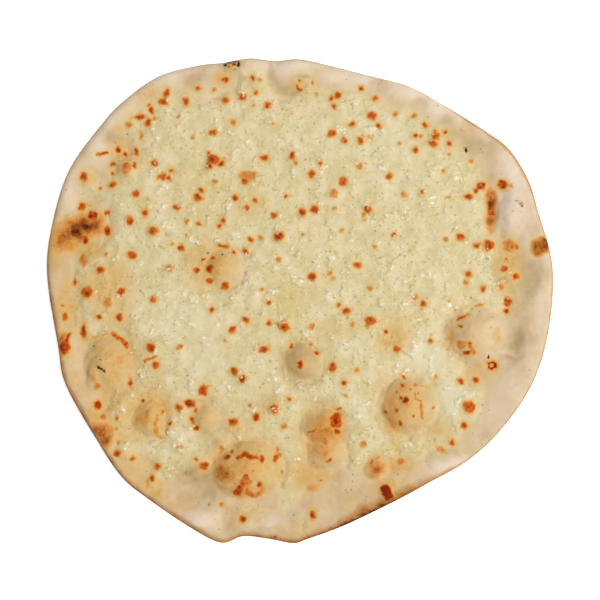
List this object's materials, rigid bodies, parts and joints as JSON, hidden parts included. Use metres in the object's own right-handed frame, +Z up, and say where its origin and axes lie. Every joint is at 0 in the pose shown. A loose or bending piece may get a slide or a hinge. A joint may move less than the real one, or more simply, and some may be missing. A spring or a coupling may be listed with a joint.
{
  "type": "white pizza",
  "caption": "Flat round baked pizza with a low uneven dough rim, blown dough bubbles and melted white cheese with browned spots, no sauce or toppings.",
  "frame": {"origin": "under the middle of the crust's box, on the surface that the pizza lies on", "axes": "+Z up out of the cheese, +X along the widest way across, +Y the other way across"},
  "size_m": [0.32, 0.3063, 0.015],
  "materials": {
    "baked_dough": "pale baked wheat dough, matt and floury, toasted brown at its edge and on its bubbles",
    "melted_cheese": "melted and set white cheese, ivory, slightly oily, with orange-brown baked spots"
  },
  "bodies": {
    "root": {"crust": "baked_dough", "cheese": "melted_cheese"}
  },
  "joints": []
}
